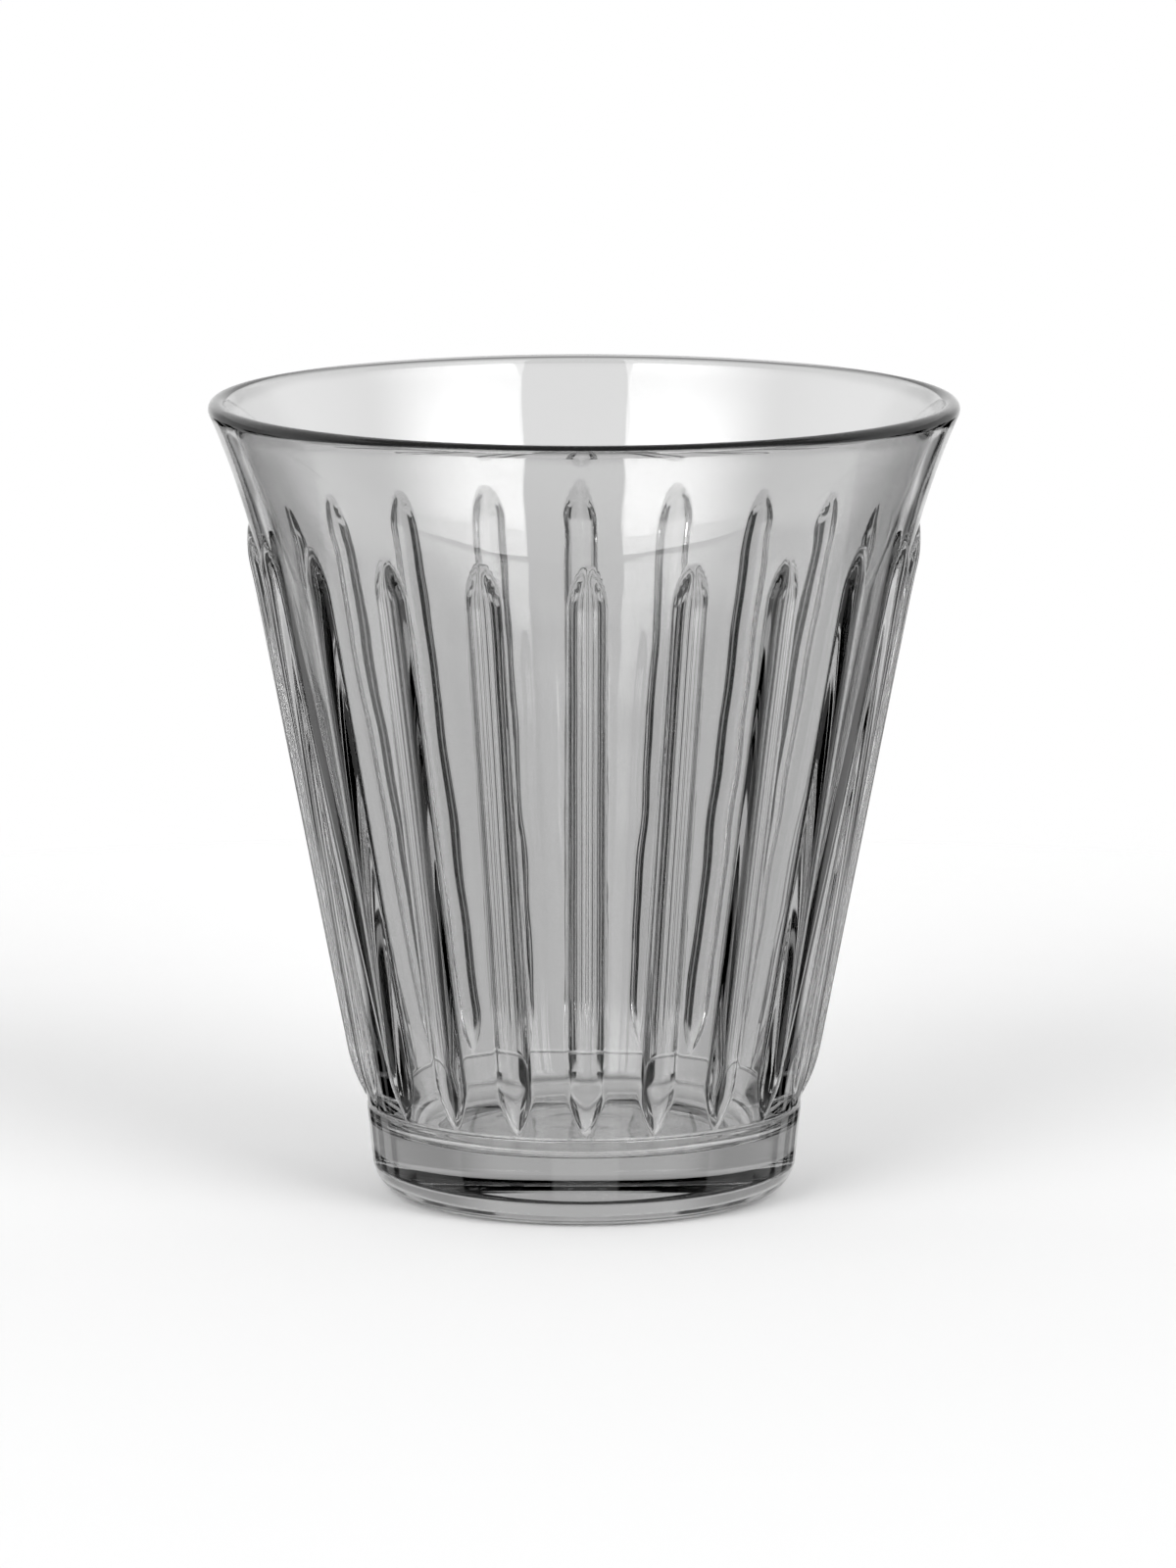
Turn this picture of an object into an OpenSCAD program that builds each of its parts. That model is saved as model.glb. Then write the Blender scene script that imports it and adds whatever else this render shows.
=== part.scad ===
// Ribbed tumbler of pressed glass with a flared lip, a plain foot and a thick base.
// All of it is one piece of glass on the table. Here each named zone of that piece is a solid
// of its own, and the zones meet face to face.
// Frame: the table is at Z = 0, the axis of the glass is Z, and rib_01 faces -Y.
// Sections are drawn with the radius along X and the height along Y.

/* [Rim] */
// Height of the glass, from the table to the top of the rim
glass_h = 94; // [90:0.5:104]
// Outer diameter across the rim
rim_d = 87.8; // [82:0.1:96]
// Thickness of the rim, which is rounded over its whole width
rim_t = 2.1; // [1.6:0.1:2.6]

/* [Wall] */
// How far the rim stands out past the line of the straight wall
flare_out = 2.3; // [1.6:0.1:4]
// Height of the flare, from the top of the rim down to where the straight wall starts
flare_h = 23.5; // [18:0.5:34]
// Level thickness of the wall where the flare starts
flare_t = 2.45; // [2:0.05:3]
// Level thickness of the wall at the top of the foot
wall_t = 4.35; // [3.2:0.05:5]
// Height of the plain lip, from the top of the rim down to just over the ribs
lip_h = 13.8; // [9:0.1:18]

/* [Ribs] */
// Number of ribs round the wall
rib_count = 20; // [12:1:24]
// Height of a rib's crest over the wall
rib_h = 1; // [0.6:0.05:1.3]
// Width of a rib near its top
rib_top_w = 4.6; // [4:0.1:6.4]
// Width of a rib near its foot end
rib_low_w = 4; // [3:0.1:5]
// Gap between a rib's top point and the plain lip
rib_top_gap = 0.6; // [0.3:0.1:4]
// Gap between a rib's lower point and the top of the foot
rib_low_gap = 0.2; // [0.1:0.1:4]
// Length over which the crest runs into the wall at the top
rib_top_run = 6.2; // [4:0.1:12]
// Length over which the crest runs into the wall at the lower end
rib_low_run = 6.4; // [4:0.1:12]

/* [Foot and base] */
// Outer diameter at the top edge of the foot
foot_top_d = 51.3; // [48:0.1:56]
// How much narrower the foot is across its bottom edge
foot_draft = 1.3; // [0.2:0.1:4]
// Height of the foot's top edge above the table
foot_h = 10.8; // [9.8:0.1:15]
// Width of the small ledge on which the wall stands in from the foot
foot_ledge = 0.15; // [0.1:0.05:0.6]
// Radius of the rounded bottom edge
edge_r = 4.3; // [2:0.1:5.5]
// Depth of the drinking floor below the top edge of the foot
floor_drop = 2.8; // [2:0.1:4.5]
// Radius of the fillet between the floor and the wall inside
floor_fillet_r = 2; // [1:0.1:2.6]
// Width of the flat ring that the glass stands on
rest_w = 2.4; // [1.8:0.1:6]
// Depth of the flat hollow in the middle of the underside
punt_depth = 1.2; // [0.6:0.1:2.5]
// How much narrower the hollow is at its flat top than at the table
punt_draft = 0.8; // [0.2:0.1:2]

/* [Hidden] */
round_fn = 180;
arc_fn = 360;
rib_fn = 96;

function unit(v) = v / norm(v);
function outward(v) = [v.y, -v.x];
function across(a, b) = a.x * b.x + a.y * b.y;
function turn(v) = atan2(v.y, v.x);
function rib_name(i) = str("rib_", i < 10 ? "0" : "", i);

// Outer face of the wall: a straight line from the foot up to the start of the flare
wall_low = [foot_top_d / 2 - foot_ledge, foot_h];
wall_line = unit([rim_d / 2 - flare_out, glass_h] - wall_low);
wall_side = outward(wall_line);
flare_z = glass_h - flare_h;
flare_out_start = wall_low + wall_line * (flare_z - foot_h) / wall_line.y;

// Inner face of the wall, and where its line meets the floor
bowl_low = wall_low - [wall_t, 0];
flare_in_start = flare_out_start - [flare_t, 0];
bowl_line = unit(flare_in_start - bowl_low);
bowl_side = outward(bowl_line);

// Both flares are arcs that leave their lines smoothly and touch the round rim
bead_r = rim_t / 2;
bead_c = [rim_d / 2 - bead_r, glass_h - bead_r];
out_reach = bead_c - flare_out_start;
out_arc_r = (across(out_reach, out_reach) - pow(bead_r, 2)) / 2 / (across(out_reach, wall_side) + bead_r);
out_arc_c = flare_out_start + out_arc_r * wall_side;
in_reach = bead_c - flare_in_start;
in_arc_r = (across(in_reach, in_reach) - pow(bead_r, 2)) / 2 / (across(in_reach, bowl_side) - bead_r);
in_arc_c = flare_in_start + in_arc_r * bowl_side;
bead_out = unit(out_arc_c - bead_c);
bead_in = unit(bead_c - in_arc_c);

// Fillet at the edge of the drinking floor
floor_z = foot_h - floor_drop;
fillet_c_z = floor_z + floor_fillet_r;
fillet_c = [
    bowl_low.x + bowl_line.x * (fillet_c_z - foot_h) / bowl_line.y - floor_fillet_r / bowl_side.x,
    fillet_c_z
];
fillet_top = fillet_c + floor_fillet_r * bowl_side;

// Foot: a straight taper that touches the rounded bottom edge
foot_top = [foot_top_d / 2, foot_h];
edge_c = [foot_top.x - foot_draft / 2 - edge_r, edge_r];
edge_turn = turn(foot_top - edge_c) - acos(edge_r / norm(foot_top - edge_c));
edge_top = edge_c + edge_r * [cos(edge_turn), sin(edge_turn)];

// Hollow under the base, a low cone with a flat top
punt_r = edge_c.x - rest_w;

// A rib seen from the side: along the wall line from its low end, and out from it
lip_z = glass_h - lip_h;
rib_start = rib_low_gap / wall_line.y;
rib_top_z = lip_z - rib_top_gap;
rib_tip_r = out_arc_c.x - sqrt(pow(out_arc_r, 2) - pow(rib_top_z - out_arc_c.y, 2));
rib_tip = [rib_tip_r, rib_top_z] - wall_low;
rib_end = across(rib_tip, wall_line);
rib_drop = rib_h - across(rib_tip, wall_side);
crest_low = rib_start + rib_low_run;
crest_top = rib_end - rib_top_run;
low_run_r = (pow(rib_low_run, 2) + pow(rib_h, 2)) / 2 / rib_h;
top_run_r = (pow(rib_top_run, 2) + pow(rib_drop, 2)) / 2 / rib_drop;

// The rib is turned about an axis of its own that lies inside the wall
rib_low_r = (pow(rib_low_w / 2, 2) + pow(rib_h, 2)) / 2 / rib_h;
rib_top_r = (pow(rib_top_w / 2, 2) + pow(rib_h, 2)) / 2 / rib_h;
axis_low = [crest_low, rib_h - rib_low_r];
axis_top = [crest_top, rib_h - rib_top_r];
axis_line = unit(axis_top - axis_low);
axis_side = [-axis_line.y, axis_line.x];
axis_rise = axis_line.x * wall_line + axis_line.y * wall_side;
axis_lean = 90 - turn(axis_rise);

// A point beside the wall line, turned into a radius and a height
function on_wall(p) = wall_low + p.x * wall_line + p.y * wall_side;
// A point beside the wall line, as its place along the rib's axis and its distance from it
function on_axis(p) = [across(p - axis_low, axis_line), across(p - axis_low, axis_side)];

// Slice of a disc between two angles
module slice(centre, radius, from, to)
    intersection() {
        translate(centre) circle(r = radius, $fn = arc_fn);
        polygon([
            centre,
            for (share = [0:0.25:1])
                centre + 2 * radius * [cos(from + share * (to - from)), sin(from + share * (to - from))]
        ]);
    }

// The curved part of the wall inside an area that the caller draws
module flare_wall()
    difference() {
        intersection() {
            children();
            translate(in_arc_c) circle(r = in_arc_r, $fn = arc_fn);
        }
        translate(out_arc_c) circle(r = out_arc_r, $fn = arc_fn);
    }

module level_band(r_low, r_high, z_low, z_high)
    translate([r_low, z_low]) square([r_high - r_low, z_high - z_low]);

// The wall's outer shape, solid to the axis, with its line run down to the table
module wall_core()
    rotate_extrude($fn = round_fn) {
        polygon([
            [0, 0],
            wall_low - foot_h * wall_line / wall_line.y,
            flare_out_start,
            [0, flare_z]
        ]);
        difference() {
            level_band(0, rim_d / 2, flare_z, glass_h);
            translate(out_arc_c) circle(r = out_arc_r, $fn = arc_fn);
        }
    }

// A tapered round bar whose ends are cut down along arcs that touch its sides
module rib_body() {
    low = on_axis([crest_low, rib_h]);
    top = on_axis([crest_top, rib_h]);
    low_arc = on_axis([crest_low, rib_h - low_run_r]);
    top_arc = on_axis([crest_top, rib_h - top_run_r]);
    low_end = low.x - rib_low_run - rib_h;
    top_end = top.x + rib_top_run + rib_h;
    taper = (top.y - low.y) / (top.x - low.x);
    rotate_extrude($fn = rib_fn)
        difference() {
            polygon([
                [0, low_end],
                [low.y + taper * (low_end - low.x), low_end],
                [top.y + taper * (top_end - top.x), top_end],
                [0, top_end]
            ]);
            difference() {
                level_band(0, 2 * low.y, low_end, low.x);
                translate([low_arc.y, low_arc.x]) circle(r = low_run_r, $fn = arc_fn);
            }
            difference() {
                level_band(0, 2 * top.y, top.x, top_end);
                translate([top_arc.y, top_arc.x]) circle(r = top_run_r, $fn = arc_fn);
            }
        }
}

// One rib: a slim turned body that stands out of the wall by the height of its crest
module rib(i)
    color("gainsboro")
        rotate([0, 0, (i - 1) * 360 / rib_count - 90])
            difference() {
                translate([on_wall(axis_low).x, 0, on_wall(axis_low).y])
                    rotate([0, axis_lean, 0]) rib_body();
                wall_core();
            }

// The fire-polished edge that touches the lips
module rim_bead()
    color("whitesmoke")
        rotate_extrude($fn = round_fn)
            slice(bead_c, bead_r, turn(bead_out), turn(bead_in));

module flared_lip()
    color("lightgray")
        rotate_extrude($fn = round_fn)
            flare_wall()
                polygon([
                    [flare_in_start.x, lip_z],
                    [rim_d / 2, lip_z],
                    bead_c + rim_t * bead_out,
                    bead_c,
                    bead_c + rim_t * bead_in
                ]);

module bowl_wall()
    color("silver")
        rotate_extrude($fn = round_fn) {
            polygon([bowl_low, wall_low, flare_out_start, flare_in_start]);
            flare_wall() level_band(0, rim_d / 2, flare_z, lip_z);
        }

// The plain band round the foot, with the fillet at the edge of the floor inside it
module foot_band()
    color("darkgray")
        rotate_extrude($fn = round_fn)
            difference() {
                polygon([
                    [fillet_c.x, edge_c.y],
                    edge_c,
                    edge_top,
                    foot_top,
                    bowl_low,
                    fillet_top,
                    [fillet_c.x, floor_z]
                ]);
                slice(fillet_c, floor_fillet_r, -90, turn(bowl_side));
            }

// The thick base under the drinking floor
module base_disc()
    color("darkgray")
        difference() {
            cylinder(h = floor_z, r = fillet_c.x, $fn = round_fn);
            cylinder(h = punt_depth, r1 = punt_r, r2 = punt_r - punt_draft, $fn = round_fn);
        }

// The rounded bottom edge and the flat ring that rests on the table
module resting_ring()
    color("dimgray")
        rotate_extrude($fn = round_fn) {
            level_band(fillet_c.x, edge_c.x, 0, edge_c.y);
            slice(edge_c, edge_r, -90, edge_turn);
        }

rim_bead();
flared_lip();
bowl_wall();
for (i = [1:rib_count])
    rib(i);
foot_band();
base_disc();
resting_ring();
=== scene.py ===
"""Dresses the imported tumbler: one unbroken body of pressed glass, the table, the studio light and the camera.

Lengths are in metres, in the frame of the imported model: the table is at Z = 0, the axis of the glass is Z
and rib_01 faces -Y. The real glass is one piece, so one closed mesh stands for all of its zones. Between
touching solids of glass a render would show seams that the object does not have.
"""
import math

import bmesh
import bpy
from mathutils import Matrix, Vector


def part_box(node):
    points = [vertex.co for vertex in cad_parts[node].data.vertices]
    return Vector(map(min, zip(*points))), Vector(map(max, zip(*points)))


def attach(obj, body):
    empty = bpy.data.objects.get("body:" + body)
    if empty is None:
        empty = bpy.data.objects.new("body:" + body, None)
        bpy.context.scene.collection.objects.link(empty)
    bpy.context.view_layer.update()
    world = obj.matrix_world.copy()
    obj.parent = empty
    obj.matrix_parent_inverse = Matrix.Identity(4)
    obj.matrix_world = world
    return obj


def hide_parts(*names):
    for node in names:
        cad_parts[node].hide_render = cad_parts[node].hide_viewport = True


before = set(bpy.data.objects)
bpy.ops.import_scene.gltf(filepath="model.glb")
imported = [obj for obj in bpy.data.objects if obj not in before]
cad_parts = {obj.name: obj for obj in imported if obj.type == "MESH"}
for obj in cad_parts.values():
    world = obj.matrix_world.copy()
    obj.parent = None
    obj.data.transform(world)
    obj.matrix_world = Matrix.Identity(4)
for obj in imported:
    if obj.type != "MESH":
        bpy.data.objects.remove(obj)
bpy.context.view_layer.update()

MM = 0.001
DEGREE = math.pi / 180

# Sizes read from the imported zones
BEAD_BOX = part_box("rim_bead")
FOOT_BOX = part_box("foot_band")
BASE_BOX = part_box("base_disc")
RING_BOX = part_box("resting_ring")
RIB_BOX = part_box("rib_01")
GLASS_H = BEAD_BOX[1].z
RIM_R = BEAD_BOX[1].x
FOOT_H = FOOT_BOX[1].z
FOOT_R = FOOT_BOX[1].x
FLOOR_Z = BASE_BOX[1].z
FLOOR_R = BASE_BOX[1].x
EDGE_R = RING_BOX[1].z
EDGE_C = (RING_BOX[1].x - EDGE_R, EDGE_R)
RIB_LOW_Z = RIB_BOX[0].z
RIB_TOP_Z = RIB_BOX[1].z
RIBS = sum(name.startswith("rib_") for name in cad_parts)

# Sizes of the section that the boxes do not give
RIM_T = 2.1 * MM
FLARE_OUT = 2.3 * MM
FLARE_Z = GLASS_H - 23.5 * MM
FLARE_T = 2.45 * MM
WALL_T = 4.35 * MM
LEDGE = 0.15 * MM
FILLET_R = 2 * MM
REST_W = 2.4 * MM
PUNT_DEPTH = 1.2 * MM
PUNT_DRAFT = 0.8 * MM
PUNT_ROUND = 0.4 * MM
FOOT_LIP_R = 0.35 * MM
FOOT_HOLLOW_R = 0.5 * MM

# Sizes of a rib: its width is that of its whole section, with the hollow fillets at both sides
RIB_H = 1.16 * MM
RIB_TOP_W = 4.45 * MM
RIB_LOW_W = 4.4 * MM
RIB_TOP_RUN = 5 * MM
RIB_LOW_RUN = 6.3 * MM
RIB_FILLET_R = 0.3 * MM
RIB_LEAST_SHARE = 0.001

# Rows of faces along each stretch of the section, and how far over the ribs the close rows go
ROWS = {
    "underside": 3, "punt edge": 4, "bottom edge": 10, "foot": 3, "foot lip": 5, "foot hollow": 5,
    "rib feet": 24, "wall": 10, "flare foot": 4, "rib tips": 30, "flare": 7, "bead": 16,
    "inner flare": 14, "bowl": 4, "floor fillet": 8, "floor": 5,
}
FOOT_LIP_ROWS_KEPT = 3
OVER_RIBS = 1.6 * MM

# Columns of faces in half the space of one rib, and how much closer they lie at the rib's edge
HALF_COLUMNS = 16
EDGE_DENSITY = 0.66
EDGE_SHARE = 0.42

# Glass: its shader's values, how it darkens with thickness, and the faint waves that pressing leaves in it
GLASS_VALUES = {
    "Base Color": (0.8, 0.8, 0.8, 1),
    "Roughness": 0.0,
    "IOR": 1.52,
    "Transmission Weight": 1.0,
}
SMOKE_COLOUR = (0.0, 0.0, 0.0, 1)
SMOKE_DENSITY = 14.0
WAVES_PER_METRE = 90.0
WAVE_SHIFT = 4.0
WAVE_DEPTH = 0.07 * MM
LIGHT_BOUNCES = {"max_bounces": 14, "transmission_bounces": 14, "glossy_bounces": 5}

# Table: it fades out with the distance from the axis, nearer for light inside the glass than for the camera. To
# light that comes through the glass it also glows a little, painted light that lifts the floor's shade under
# and behind the glass.
WHITE = (1, 1, 1, 1)
TABLE_HALF = 0.4
TABLE_VALUES = {
    "Base Color": (0.96, 0.96, 0.96, 1),
    "Roughness": 0.9,
    "Specular IOR Level": 0.0,
    "Emission Color": WHITE,
}
TABLE_FADE = (0.14, 0.3, 1.0, 0.0)
TABLE_FADE_IN_GLASS = (0.024, 0.036, 1.0, 0.0)
TABLE_GLOW_IN_GLASS = 0.3

# How light the backdrop is at an angle in degrees from the middle of its nearest side
SIDE_HALF = 45.0
BACKDROP = (
    (0, 1.0), (3, 0.98), (7, 0.88), (17, 0.85), (19.5, 0.0), (26.5, 0.0), (28.5, 0.35), (31, 0.35), (33, 0.0),
    (39, 0.0), (41.5, 0.8), (45, 0.85)
)

# Steps of the studio's light. Each goes from one angle in degrees to another, and from one level to another.
# By height over the horizon. The first gives the widest side angle that counts, so low corners are dark.
CORNER_END = (-21, -18.5, 25, 45)
LOW_DIM = (-11.5, -8.5, 0.84, 1.0)
BAND_LOW_EDGE = (-20.5, -19, 0.0, 0.8)
BAND_TOP_EDGE = (-17.5, -16, 1.0, 0.0)
GROUND_EDGE = (-42, -24, 0.0, 1.0)
GROUND = (-52, -42, 0.85, 0.3)
EYE_EDGE = (-10.5, -8, 0.0, 1.0)
BOX_EDGE = (12.5, 16.5, 0.0, 1.0)
BOX_STRENGTH = (22, 38, 7.5, 3.3)
CEILING_EDGE = (51, 54, 0.0, 1.0)
CEILING = 0.4
# By angle from the middle of the nearest side
BAND_END = (33, 36, 1.0, 0.0)
EYE_SIDES = (15, 32, 1.0, 0.55)
# By angle from the middle between the two softboxes
BOX_MIDDLE = 3.0
EYE_GAP = (19, 20, 0.2, 1.0)
BOX_INNER_END = (19, 20, 0.0, 1.0)
BOX_OUTER_END = (35, 80, 1.0, 0.0)
REAR_LIGHT = (60, 110, 0.1, 0.9)

# Camera: its distance from the axis and its height, and in radians how far it looks down, how far it is swung
# round the glass, which puts rib_01 half a degree to the right, and how far it looks aside of the axis
CAMERA_AWAY = 1.15357
CAMERA_H = 0.23857
CAMERA_DOWN = 0.1634
CAMERA_SWING = 0.5455 * DEGREE
CAMERA_ASIDE = 0.0004
SENSOR_W = 36
FOCAL_LENGTH = 228.56


def on_line(a, b, z):
    """The point at height z on the line through a and b."""
    return (a[0] + (b[0] - a[0]) * (z - a[1]) / (b[1] - a[1]), z)


def flare(start, side, bead, bead_r):
    """Centre and radius of the arc that leaves a line at start and touches the round rim."""
    reach = Vector(bead) - Vector(start)
    radius = (reach.dot(reach) - bead_r**2) / 2 / (reach.dot(side) + bead_r)
    return Vector(start) + radius * Vector(side), radius


def arc(centre, radius, start, end, steps):
    """Points on an arc, with both ends."""
    turn = (end - start) / steps
    return [
        (centre[0] + radius * math.cos(start + i * turn), centre[1] + radius * math.sin(start + i * turn))
        for i in range(steps + 1)
    ]


def line(a, b, steps):
    """Points on a straight stretch, with both ends."""
    return [tuple(Vector(a).lerp(Vector(b), i / steps)) for i in range(steps + 1)]


def angle_at(centre, point):
    """Direction from a centre to a point."""
    return math.atan2(point[1] - centre[1], point[0] - centre[0])


def rounded(a, corner, b, radius, steps):
    """Points of the arc that rounds the corner between the directions to a and b."""
    corner, a, b = Vector(corner), Vector(a), Vector(b)
    to_a, to_b = (a - corner).normalized(), (b - corner).normalized()
    half = to_a.angle(to_b) / 2
    middle = corner + (to_a + to_b).normalized() * radius / math.sin(half)
    start = angle_at(middle, corner + to_a * radius / math.tan(half))
    end = angle_at(middle, corner + to_b * radius / math.tan(half))
    if end - start > math.pi:
        end -= math.tau
    if start - end > math.pi:
        end += math.tau
    return arc(middle, radius, start, end, steps)


class Section:
    """The half section of the glass: the lines and arcs that its faces are turned from."""

    def __init__(self):
        self.bead_r = RIM_T / 2
        self.bead_c = (RIM_R - self.bead_r, GLASS_H - self.bead_r)
        self.wall_low = (FOOT_R - LEDGE, FOOT_H)
        self.wall_high = (RIM_R - FLARE_OUT, GLASS_H)
        self.out_start = on_line(self.wall_low, self.wall_high, FLARE_Z)
        wall_line = (Vector(self.wall_high) - Vector(self.wall_low)).normalized()
        wall_side = Vector((wall_line.y, -wall_line.x))
        self.out_c, self.out_r = flare(self.out_start, wall_side, self.bead_c, self.bead_r)
        bowl_low = (self.wall_low[0] - WALL_T, FOOT_H)
        self.in_start = (self.out_start[0] - FLARE_T, FLARE_Z)
        bowl_line = (Vector(self.in_start) - Vector(bowl_low)).normalized()
        self.bowl_side = Vector((bowl_line.y, -bowl_line.x))
        self.in_c, self.in_r = flare(self.in_start, self.bowl_side, self.bead_c, -self.bead_r)

    def flare_turn(self, z):
        """Angle on the outer flare's arc at height z."""
        return math.pi - math.asin((z - self.out_c[1]) / self.out_r)

    def base(self):
        """From the middle of the underside, round the resting ring and up the foot to the wall."""
        rest_in = (EDGE_C[0] - REST_W, 0.0)
        punt_out = (rest_in[0] - PUNT_DRAFT, PUNT_DEPTH)
        hollow = rounded((0.0, PUNT_DEPTH), punt_out, rest_in, PUNT_ROUND, ROWS["punt edge"])
        rest = rounded(hollow[-1], rest_in, (EDGE_C[0], 0.0), PUNT_ROUND, ROWS["punt edge"])
        foot_top = (FOOT_R, FOOT_H)
        reach = Vector(foot_top) - Vector(EDGE_C)
        edge_turn = math.atan2(reach.y, reach.x) - math.acos(EDGE_R / reach.length)
        points = line((0.0, PUNT_DEPTH), hollow[0], ROWS["underside"]) + hollow[1:] + rest
        points.append((EDGE_C[0], 0.0))
        points += arc(EDGE_C, EDGE_R, -math.pi / 2, edge_turn, ROWS["bottom edge"])[1:]
        lip = rounded(points[-1], foot_top, (0, FOOT_H), FOOT_LIP_R, ROWS["foot lip"])
        lip = lip[:FOOT_LIP_ROWS_KEPT + 1]
        points += line(points[-1], lip[0], ROWS["foot"])[1:]
        points += lip[1:]
        corner = (self.wall_low[0], lip[-1][1])
        return points + rounded(lip[-1], corner, self.wall_high, FOOT_HOLLOW_R, ROWS["foot hollow"])[1:]

    def ribbed(self, start):
        """Up the outer face from a starting point to just over the ribs, in closer rows at the ribs' ends."""
        low_end = on_line(self.wall_low, self.wall_high, RIB_LOW_Z + RIB_LOW_RUN)
        points = line(start, low_end, ROWS["rib feet"])
        points += line(low_end, self.out_start, ROWS["wall"])[1:]
        top_start = self.flare_turn(RIB_TOP_Z - RIB_TOP_RUN)
        top_end = self.flare_turn(RIB_TOP_Z + OVER_RIBS)
        first = angle_at(self.out_c, self.out_start) % math.tau
        points += arc(self.out_c, self.out_r, first, top_start, ROWS["flare foot"])[1:]
        return points + arc(self.out_c, self.out_r, top_start, top_end, ROWS["rib tips"])[1:]

    def rim(self, start):
        """From over the ribs, round the rim and down the inner flare."""
        turns = angle_at(self.out_c, start) % math.tau, angle_at(self.out_c, self.bead_c) % math.tau
        points = arc(self.out_c, self.out_r, *turns, ROWS["flare"])
        bead_to = angle_at(self.in_c, self.bead_c)
        points += arc(self.bead_c, self.bead_r, angle_at(self.bead_c, self.out_c), bead_to, ROWS["bead"])[1:]
        turns = bead_to % math.tau, angle_at(self.in_c, self.in_start) % math.tau
        return points + arc(self.in_c, self.in_r, *turns, ROWS["inner flare"])[1:]

    def bowl(self):
        """Down the inner face to the middle of the drinking floor."""
        centre = (FLOOR_R, FLOOR_Z + FILLET_R)
        top = Vector(centre) + FILLET_R * self.bowl_side
        side_turn = math.atan2(self.bowl_side.y, self.bowl_side.x)
        points = line(self.in_start, tuple(top), ROWS["bowl"])
        points += arc(centre, FILLET_R, side_turn, -math.pi / 2, ROWS["floor fillet"])[1:]
        return points + line((FLOOR_R, FLOOR_Z), (0.0, FLOOR_Z), ROWS["floor"])[1:]


def column_angles():
    """Angles of the columns of faces round the glass, closer together at the edges of the ribs."""
    pitch = math.tau / RIBS
    lean = EDGE_DENSITY / math.tau
    start = math.sin(math.tau * EDGE_SHARE)
    half = []
    for i in range(HALF_COLUMNS):
        share = i / HALF_COLUMNS
        half.append(share - lean * (math.sin(math.tau * (share - EDGE_SHARE)) + start))
    whole = half + [2 - share for share in [1.0] + half[:0:-1]]
    return [-math.pi / 2 + pitch * (n + share / 2) for n in range(RIBS) for share in whole]


def glass_blank(section):
    """The smooth body of glass, before its ribs are raised, as a closed mesh."""
    base = section.base()
    ribbed = section.ribbed(base[-1])
    rim = section.rim(ribbed[-1])
    points = base + ribbed[1:] + rim[1:] + section.bowl()[1:]
    ribbed_rows = range(len(base), len(base) + len(ribbed) - 1)
    angles = column_angles()
    mesh = bpy.data.meshes.new("glass_blank")
    bm = bmesh.new()
    mark = bm.verts.layers.float.new("ribbed")
    rings = []
    for row, (r, z) in enumerate(points[1:-1], start=1):
        ring = []
        for angle in angles:
            vert = bm.verts.new((r * math.cos(angle), r * math.sin(angle), z))
            vert[mark] = float(row in ribbed_rows)
            ring.append(vert)
        rings.append(ring)
    under = bm.verts.new((0, 0, points[0][1]))
    floor = bm.verts.new((0, 0, points[-1][1]))
    for i in range(len(angles)):
        j = (i + 1) % len(angles)
        bm.faces.new((under, rings[0][j], rings[0][i]))
        bm.faces.new((floor, rings[-1][i], rings[-1][j]))
        for low, high in zip(rings, rings[1:]):
            bm.faces.new((low[i], low[j], high[j], high[i]))
    bmesh.ops.recalc_face_normals(bm, faces=bm.faces)
    for face in bm.faces:
        face.smooth = True
    bm.to_mesh(mesh)
    bm.free()
    return bpy.data.objects.new("glass_blank", mesh)


class Wiring:
    """Adds linked nodes to a node tree."""

    def __init__(self, tree):
        self.tree = tree

    def add(self, kind, **settings):
        node = self.tree.nodes.new(kind)
        for name, value in settings.items():
            setattr(node, name, value)
        return node

    def link(self, source, target):
        self.tree.links.new(source, target)

    def feed(self, node, *values):
        """Fills a node's inputs in turn, each with a number or from another node's output."""
        for socket, value in zip(node.inputs, values):
            if isinstance(value, bpy.types.NodeSocket):
                self.link(value, socket)
            else:
                socket.default_value = value
        return node

    def math(self, operation, *values):
        return self.feed(self.add("ShaderNodeMath", operation=operation), *values).outputs[0]

    def ramp(self, value, low, high, at_low, at_high):
        """A smooth step from one number to another while the value goes from low to high."""
        node = self.add("ShaderNodeMapRange", interpolation_type="SMOOTHSTEP")
        return self.feed(node, value, low, high, at_low, at_high).outputs[0]

    def mix(self, share, at_none, at_all):
        """Goes from one number to another as the share goes from nothing to 1."""
        return self.feed(self.add("ShaderNodeMapRange"), share, 0.0, 1.0, at_none, at_all).outputs[0]

    def profile(self, value, stops):
        """The level at a value, from a list of values with their levels."""
        last = stops[-1][0]
        node = self.add("ShaderNodeValToRGB")
        ramp = node.color_ramp
        ramp.interpolation = "EASE"
        for place, level in stops[1:-1]:
            ramp.elements.new(place / last)
        for element, (place, level) in zip(ramp.elements, stops):
            element.color = (level, level, level, 1)
        return self.feed(node, self.math("DIVIDE", value, last)).outputs[0]

    def split(self, place):
        """The three coordinates of a place."""
        return self.feed(self.add("ShaderNodeSeparateXYZ"), place).outputs

    def from_axis(self, x, y):
        """Distance from the axis of the glass."""
        return self.math("SQRT", self.math("ADD", self.math("MULTIPLY", x, x), self.math("MULTIPLY", y, y)))


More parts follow.
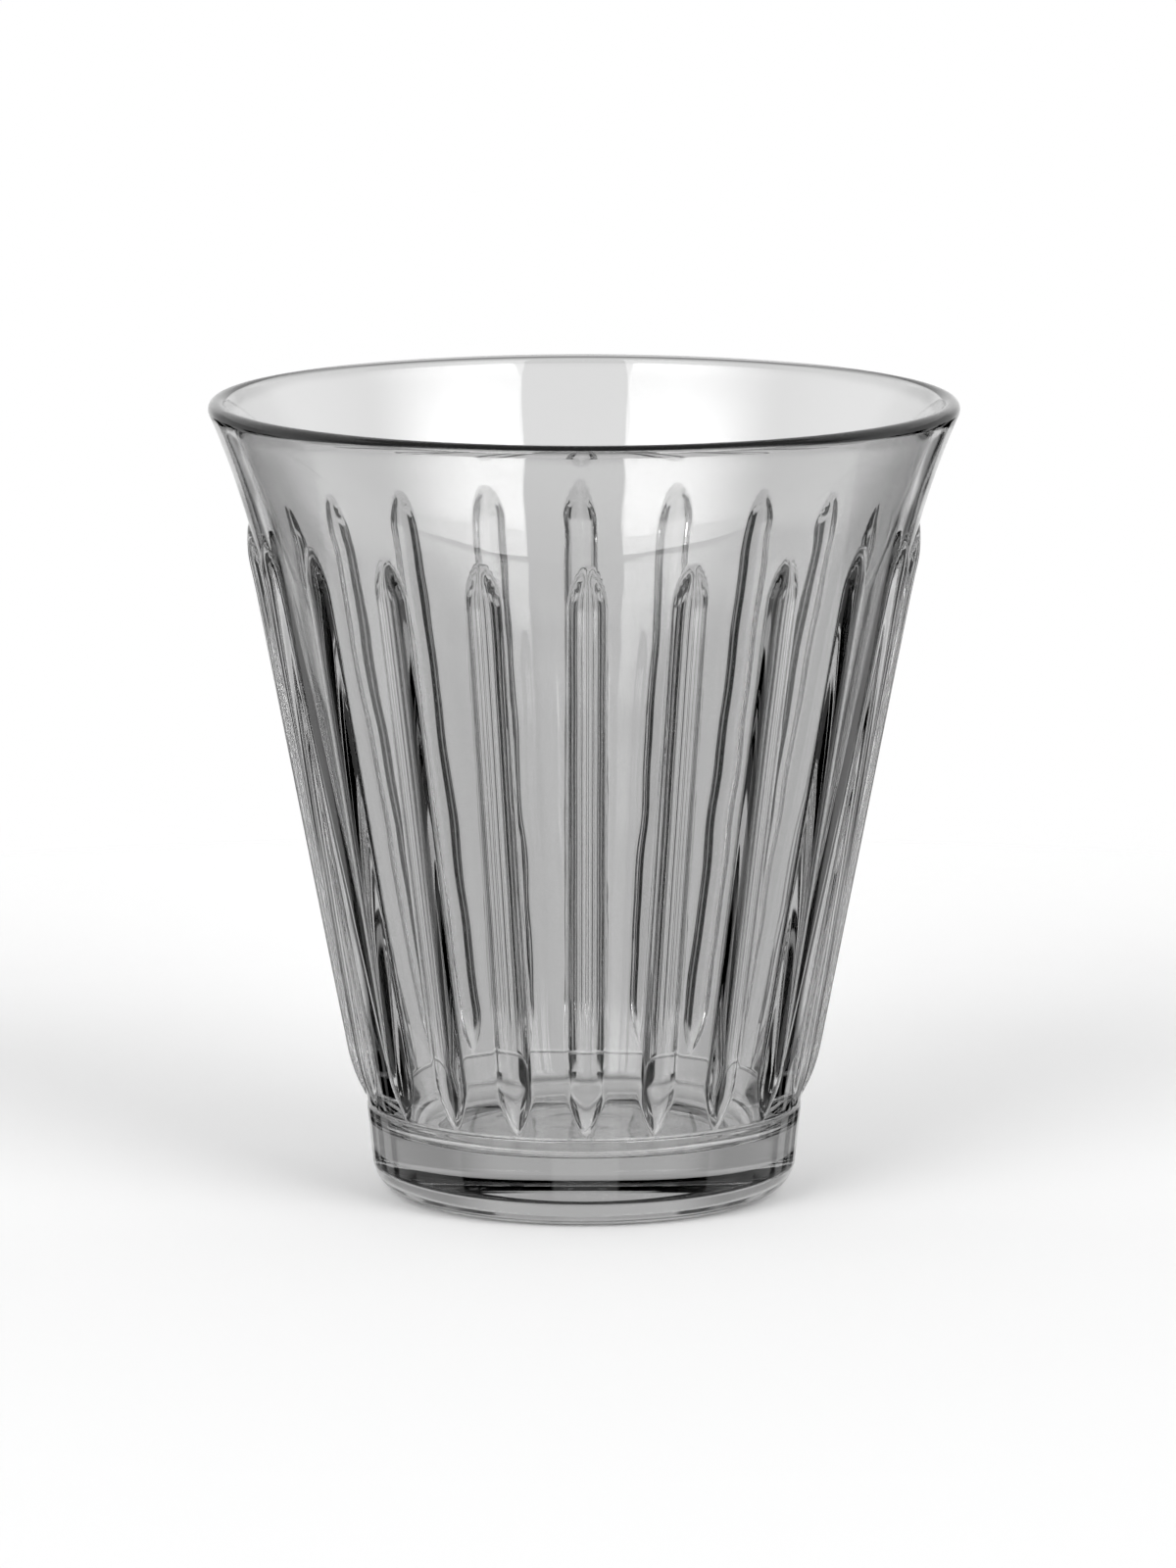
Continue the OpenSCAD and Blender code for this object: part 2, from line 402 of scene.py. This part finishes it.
def geometry_tree(name, sizes):
    """A geometry tree with a named input for each size and one for the finish."""
    tree = bpy.data.node_groups.new(name, "GeometryNodeTree")
    sockets = tree.interface
    sockets.new_socket("Geometry", in_out="INPUT", socket_type="NodeSocketGeometry")
    for label, value in sizes.items():
        kind = "NodeSocketInt" if isinstance(value, int) else "NodeSocketFloat"
        sockets.new_socket(label, in_out="INPUT", socket_type=kind).default_value = value
    sockets.new_socket("Finish", in_out="INPUT", socket_type="NodeSocketMaterial")
    sockets.new_socket("Geometry", in_out="OUTPUT", socket_type="NodeSocketGeometry")
    return tree


def rib_tree(sizes):
    """Raises evenly spaced ribs on the points that are marked as ribbed.

    Across, a rib is an arc between two small hollow fillets. At both ends its section shrinks to a point.
    """
    tree = geometry_tree("raised_ribs", sizes)
    w = Wiring(tree)
    given = w.add("NodeGroupInput").outputs
    x, y, z = w.split(w.add("GeometryNodeInputPosition").outputs[0])
    pitch = w.math("DIVIDE", math.tau, given["Ribs"])
    half = w.math("DIVIDE", pitch, 2.0)
    angle = w.math("ADD", w.math("ARCTAN2", y, x), w.math("ADD", math.pi / 2, half))
    offset = w.math("SUBTRACT", w.math("FLOORED_MODULO", angle, pitch), half)
    aside = w.math("MULTIPLY", w.from_axis(x, y), offset)

    def run_in(distance, length):
        """Share of a rib's full section at a distance from its point, along an arc that ends level."""
        left = w.math("SUBTRACT", 1.0, w.math("DIVIDE", distance, length))
        left = w.math("MINIMUM", w.math("MAXIMUM", left, 0.0), 1.0)
        return w.math("SUBTRACT", 1.0, w.math("MULTIPLY", left, left))

    from_low = w.math("SUBTRACT", z, given["Low point"])
    from_top = w.math("SUBTRACT", given["Top point"], z)
    part = w.math("MULTIPLY", run_in(from_low, given["Low run"]), run_in(from_top, given["Top run"]))
    part = w.math("MAXIMUM", part, RIB_LEAST_SHARE)
    share = w.math("DIVIDE", from_low, w.math("ADD", from_low, from_top))
    wider = w.math("SUBTRACT", given["Top width"], given["Low width"])
    width = w.math("MULTIPLY_ADD", wider, share, given["Low width"])
    half_width = w.math("DIVIDE", width, 2.0)
    across = w.math("MULTIPLY", half_width, half_width)
    across = w.math("MULTIPLY_ADD", given["Height"], given["Height"], across)
    bend = w.math("DIVIDE", w.math("DIVIDE", across, given["Height"]), 2.0)
    crown_r = w.math("SUBTRACT", bend, given["Fillet"])
    crown_half = w.math("DIVIDE", w.math("MULTIPLY", half_width, crown_r), bend)
    aside = w.math("DIVIDE", w.math("ABSOLUTE", aside), part)

    def arc_height(arc_r, beside):
        """Height of a circle over its own centre at a place beside the centre."""
        rest = w.math("SUBTRACT", w.math("MULTIPLY", arc_r, arc_r), w.math("MULTIPLY", beside, beside))
        return w.math("SQRT", w.math("MAXIMUM", rest, 0.0))

    crown = w.math("SUBTRACT", w.math("ADD", arc_height(crown_r, aside), given["Height"]), crown_r)
    from_foot = w.math("MAXIMUM", w.math("SUBTRACT", half_width, aside), 0.0)
    fillet = w.math("SUBTRACT", given["Fillet"], arc_height(given["Fillet"], from_foot))
    rise = w.mix(w.math("LESS_THAN", aside, crown_half), fillet, crown)
    rise = w.math("MULTIPLY", rise, part)

    mark = w.add("GeometryNodeInputNamedAttribute", data_type="FLOAT")
    mark.inputs["Name"].default_value = "ribbed"
    move = w.add("ShaderNodeVectorMath", operation="SCALE")
    w.link(w.add("GeometryNodeInputNormal").outputs[0], move.inputs[0])
    w.link(w.math("MULTIPLY", rise, mark.outputs["Attribute"]), move.inputs["Scale"])
    shift = w.add("GeometryNodeSetPosition")
    w.link(given["Geometry"], shift.inputs["Geometry"])
    w.link(move.outputs[0], shift.inputs["Offset"])
    real = w.feed(w.add("GeometryNodeRealizeInstances"), shift.outputs[0])
    paint = w.add("GeometryNodeSetMaterial")
    w.link(real.outputs[0], paint.inputs["Geometry"])
    w.link(given["Finish"], paint.inputs["Material"])
    w.feed(w.add("NodeGroupOutput"), paint.outputs[0])
    return tree


def made_by_tree(blank, name, tree, finish):
    """The plain mesh that a geometry tree makes of a blank, as a new object."""
    modifier = blank.modifiers.new(tree.name, "NODES")
    modifier.node_group = tree
    for item in tree.interface.items_tree:
        if item.in_out == "INPUT" and item.socket_type == "NodeSocketMaterial":
            modifier[item.identifier] = finish
    bpy.context.scene.collection.objects.link(blank)
    depsgraph = bpy.context.evaluated_depsgraph_get()
    mesh = bpy.data.meshes.new_from_object(blank.evaluated_get(depsgraph))
    mesh.name = name
    bpy.data.objects.remove(blank)
    piece = bpy.data.objects.new(name, mesh)
    bpy.context.scene.collection.objects.link(piece)
    return piece


def finish_of(name, values):
    """A new material with plain values on its shader."""
    material = bpy.data.materials.new(name)
    material.use_nodes = True
    shader = material.node_tree.nodes["Principled BSDF"]
    for label, value in values.items():
        shader.inputs[label].default_value = value
    return material, shader


def pressed_glass():
    """Slightly smoky and wavy clear glass, darker where the light crosses more of it."""
    glass, shader = finish_of("pressed_glass", GLASS_VALUES)
    w = Wiring(glass.node_tree)
    smoke = w.feed(w.add("ShaderNodeVolumeAbsorption"), SMOKE_COLOUR, SMOKE_DENSITY)
    w.link(smoke.outputs[0], glass.node_tree.nodes["Material Output"].inputs["Volume"])
    place = w.add("ShaderNodeTexCoord").outputs["Object"]
    x, y, _ = w.split(place)
    waves = w.add("ShaderNodeTexNoise", noise_dimensions="4D")
    w.link(place, waves.inputs["Vector"])
    w.link(w.math("MULTIPLY", w.from_axis(x, y), WAVE_SHIFT), waves.inputs["W"])
    waves.inputs["Scale"].default_value = WAVES_PER_METRE
    waves.inputs["Detail"].default_value = 0.0
    bump = w.add("ShaderNodeBump")
    bump.inputs["Distance"].default_value = WAVE_DEPTH
    w.link(waves.outputs[0], bump.inputs["Height"])
    w.link(bump.outputs[0], shader.inputs["Normal"])
    return glass


def table_top():
    """A plain white floor that fades into the white of the studio away from the glass. Seen through the glass
    it has a painted glow that lifts its shade.
    """
    mesh = bpy.data.meshes.new("table_top")
    bm = bmesh.new()
    bmesh.ops.create_grid(bm, x_segments=1, y_segments=1, size=TABLE_HALF)
    bm.to_mesh(mesh)
    bm.free()
    top = bpy.data.objects.new("table_top", mesh)
    bpy.context.scene.collection.objects.link(top)
    white, shader = finish_of("white_table", TABLE_VALUES)
    w = Wiring(white.node_tree)
    x, y, _ = w.split(w.add("ShaderNodeTexCoord").outputs["Object"])
    away = w.from_axis(x, y)
    path = w.add("ShaderNodeLightPath").outputs
    seen = w.mix(path["Is Camera Ray"], w.ramp(away, *TABLE_FADE_IN_GLASS), w.ramp(away, *TABLE_FADE))
    # Painted light: the floor glows faintly to rays that come through the glass, lifting the shade that the
    # glass casts on it
    glow = w.math("MULTIPLY", path["Is Transmission Ray"], TABLE_GLOW_IN_GLASS)
    w.link(seen, shader.inputs["Alpha"])
    w.link(glow, shader.inputs["Emission Strength"])
    mesh.materials.append(white)


def studio_world():
    """A pale backdrop on each side with darker stretches between, softboxes in front and a dim ceiling.

    The camera sees plain white. The glass sees the rest, from the ground up to the ceiling.
    """
    world = bpy.data.worlds.new("studio")
    bpy.context.scene.world = world
    world.use_nodes = True
    w = Wiring(world.node_tree)
    light = world.node_tree.nodes["Background"]
    x, y, z = w.split(w.add("ShaderNodeTexCoord").outputs["Generated"])
    height = w.math("DIVIDE", w.math("ARCSINE", z), DEGREE)
    around = w.math("DIVIDE", w.math("ARCTAN2", x, w.math("MULTIPLY", y, -1.0)), DEGREE)
    side = w.math("PINGPONG", around, SIDE_HALF)
    from_front = w.math("ABSOLUTE", w.math("SUBTRACT", around, BOX_MIDDLE))

    backdrop = w.profile(w.math("MINIMUM", side, w.ramp(height, *CORNER_END)), BACKDROP)
    backdrop = w.math("MULTIPLY", backdrop, w.ramp(height, *LOW_DIM))
    band = w.math("MULTIPLY", w.ramp(height, *BAND_LOW_EDGE), w.ramp(height, *BAND_TOP_EDGE))
    backdrop = w.math("MAXIMUM", backdrop, w.math("MULTIPLY", band, w.ramp(side, *BAND_END)))
    at_eye = w.math("MULTIPLY", w.ramp(side, *EYE_SIDES), w.ramp(from_front, *EYE_GAP))
    boxes = w.math("MULTIPLY", w.ramp(from_front, *BOX_INNER_END), w.ramp(from_front, *BOX_OUTER_END))
    boxes = w.math("MULTIPLY", boxes, w.ramp(height, *BOX_STRENGTH))
    boxes = w.math("ADD", boxes, w.ramp(from_front, *REAR_LIGHT))

    level = w.mix(w.ramp(height, *GROUND_EDGE), w.ramp(height, *GROUND), backdrop)
    level = w.mix(w.ramp(height, *EYE_EDGE), level, at_eye)
    level = w.mix(w.ramp(height, *BOX_EDGE), level, boxes)
    level = w.mix(w.ramp(height, *CEILING_EDGE), level, CEILING)
    level = w.mix(w.add("ShaderNodeLightPath").outputs["Is Camera Ray"], level, 1.0)
    light.inputs["Color"].default_value = WHITE
    w.link(level, light.inputs["Strength"])


def place_camera():
    """The view of the photo, from a little above the rim."""
    data = bpy.data.cameras.new("camera")
    data.sensor_width = SENSOR_W
    data.lens = FOCAL_LENGTH
    camera = bpy.data.objects.new("camera", data)
    camera.location = (-CAMERA_AWAY * math.sin(CAMERA_SWING), -CAMERA_AWAY * math.cos(CAMERA_SWING), CAMERA_H)
    camera.rotation_euler = (math.pi / 2 - CAMERA_DOWN, 0, -CAMERA_SWING - CAMERA_ASIDE)
    bpy.context.scene.collection.objects.link(camera)
    bpy.context.scene.camera = camera


place_camera()
rib_sizes = {
    "Ribs": RIBS,
    "Height": RIB_H,
    "Top width": RIB_TOP_W,
    "Low width": RIB_LOW_W,
    "Low point": RIB_LOW_Z,
    "Top point": RIB_TOP_Z,
    "Low run": RIB_LOW_RUN,
    "Top run": RIB_TOP_RUN,
    "Fillet": RIB_FILLET_R,
}
tumbler = made_by_tree(glass_blank(Section()), "pressed_glass_body", rib_tree(rib_sizes), pressed_glass())
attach(tumbler, "root")
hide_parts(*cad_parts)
table_top()
studio_world()
bpy.context.scene.view_settings.view_transform = "Standard"
for name, bounces in LIGHT_BOUNCES.items():
    setattr(bpy.context.scene.cycles, name, bounces)
